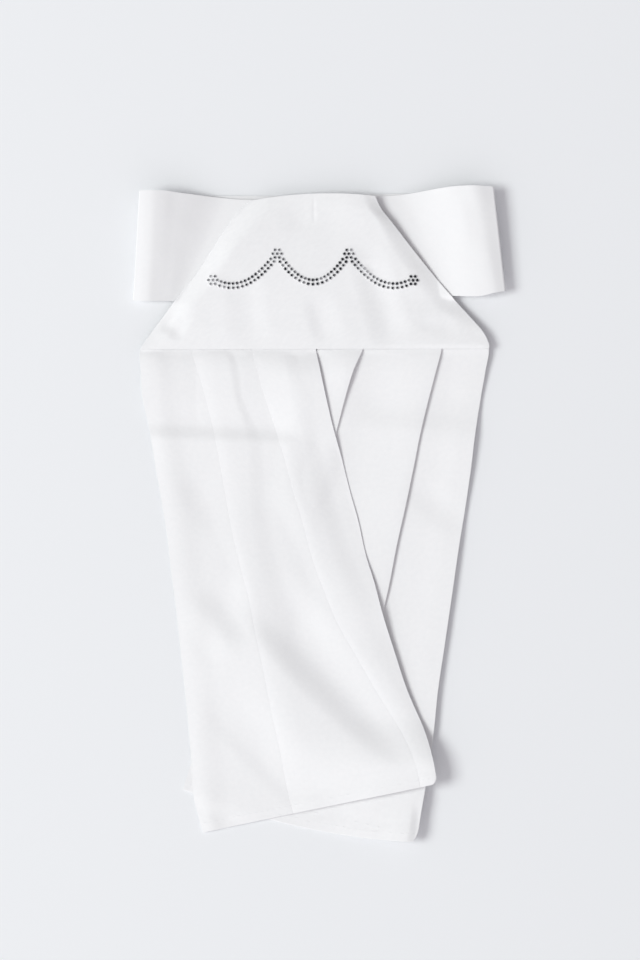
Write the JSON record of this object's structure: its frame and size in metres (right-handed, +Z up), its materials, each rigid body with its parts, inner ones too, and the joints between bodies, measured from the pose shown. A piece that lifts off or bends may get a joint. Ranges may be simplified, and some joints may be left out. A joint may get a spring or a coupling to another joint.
{
  "type": "cravat",
  "caption": "Ready-made pleated cravat lying flat: fastened neck loop, trapezoid yoke with a stone garland, and two crossed pleated tails.",
  "frame": {"origin": "centre of the bounding box on the plane the cravat lies on", "axes": "+Y from the hems to the neck band, +X to the right of the front as it lies face up, +Z up out of the front"},
  "size_m": [0.199, 0.3478, 0.0117],
  "materials": {
    "band_cloth": "white fine cloth, two plies, soft and slightly lustrous",
    "yoke_cloth": "white fine cloth, two plies, soft and slightly lustrous",
    "tail_cloth": "white fine satin-woven cloth with pressed pleats",
    "fastener": "white hook-and-loop fastener",
    "cut_stones": "small foil-backed cut stones, dark grey with bright sparkle"
  },
  "bodies": {
    "root": {"neck_band": "band_cloth", "closure_patch": "fastener", "yoke": "yoke_cloth", "left_tail": "tail_cloth", "right_tail": "tail_cloth", "crystals": "cut_stones"}
  },
  "joints": []
}
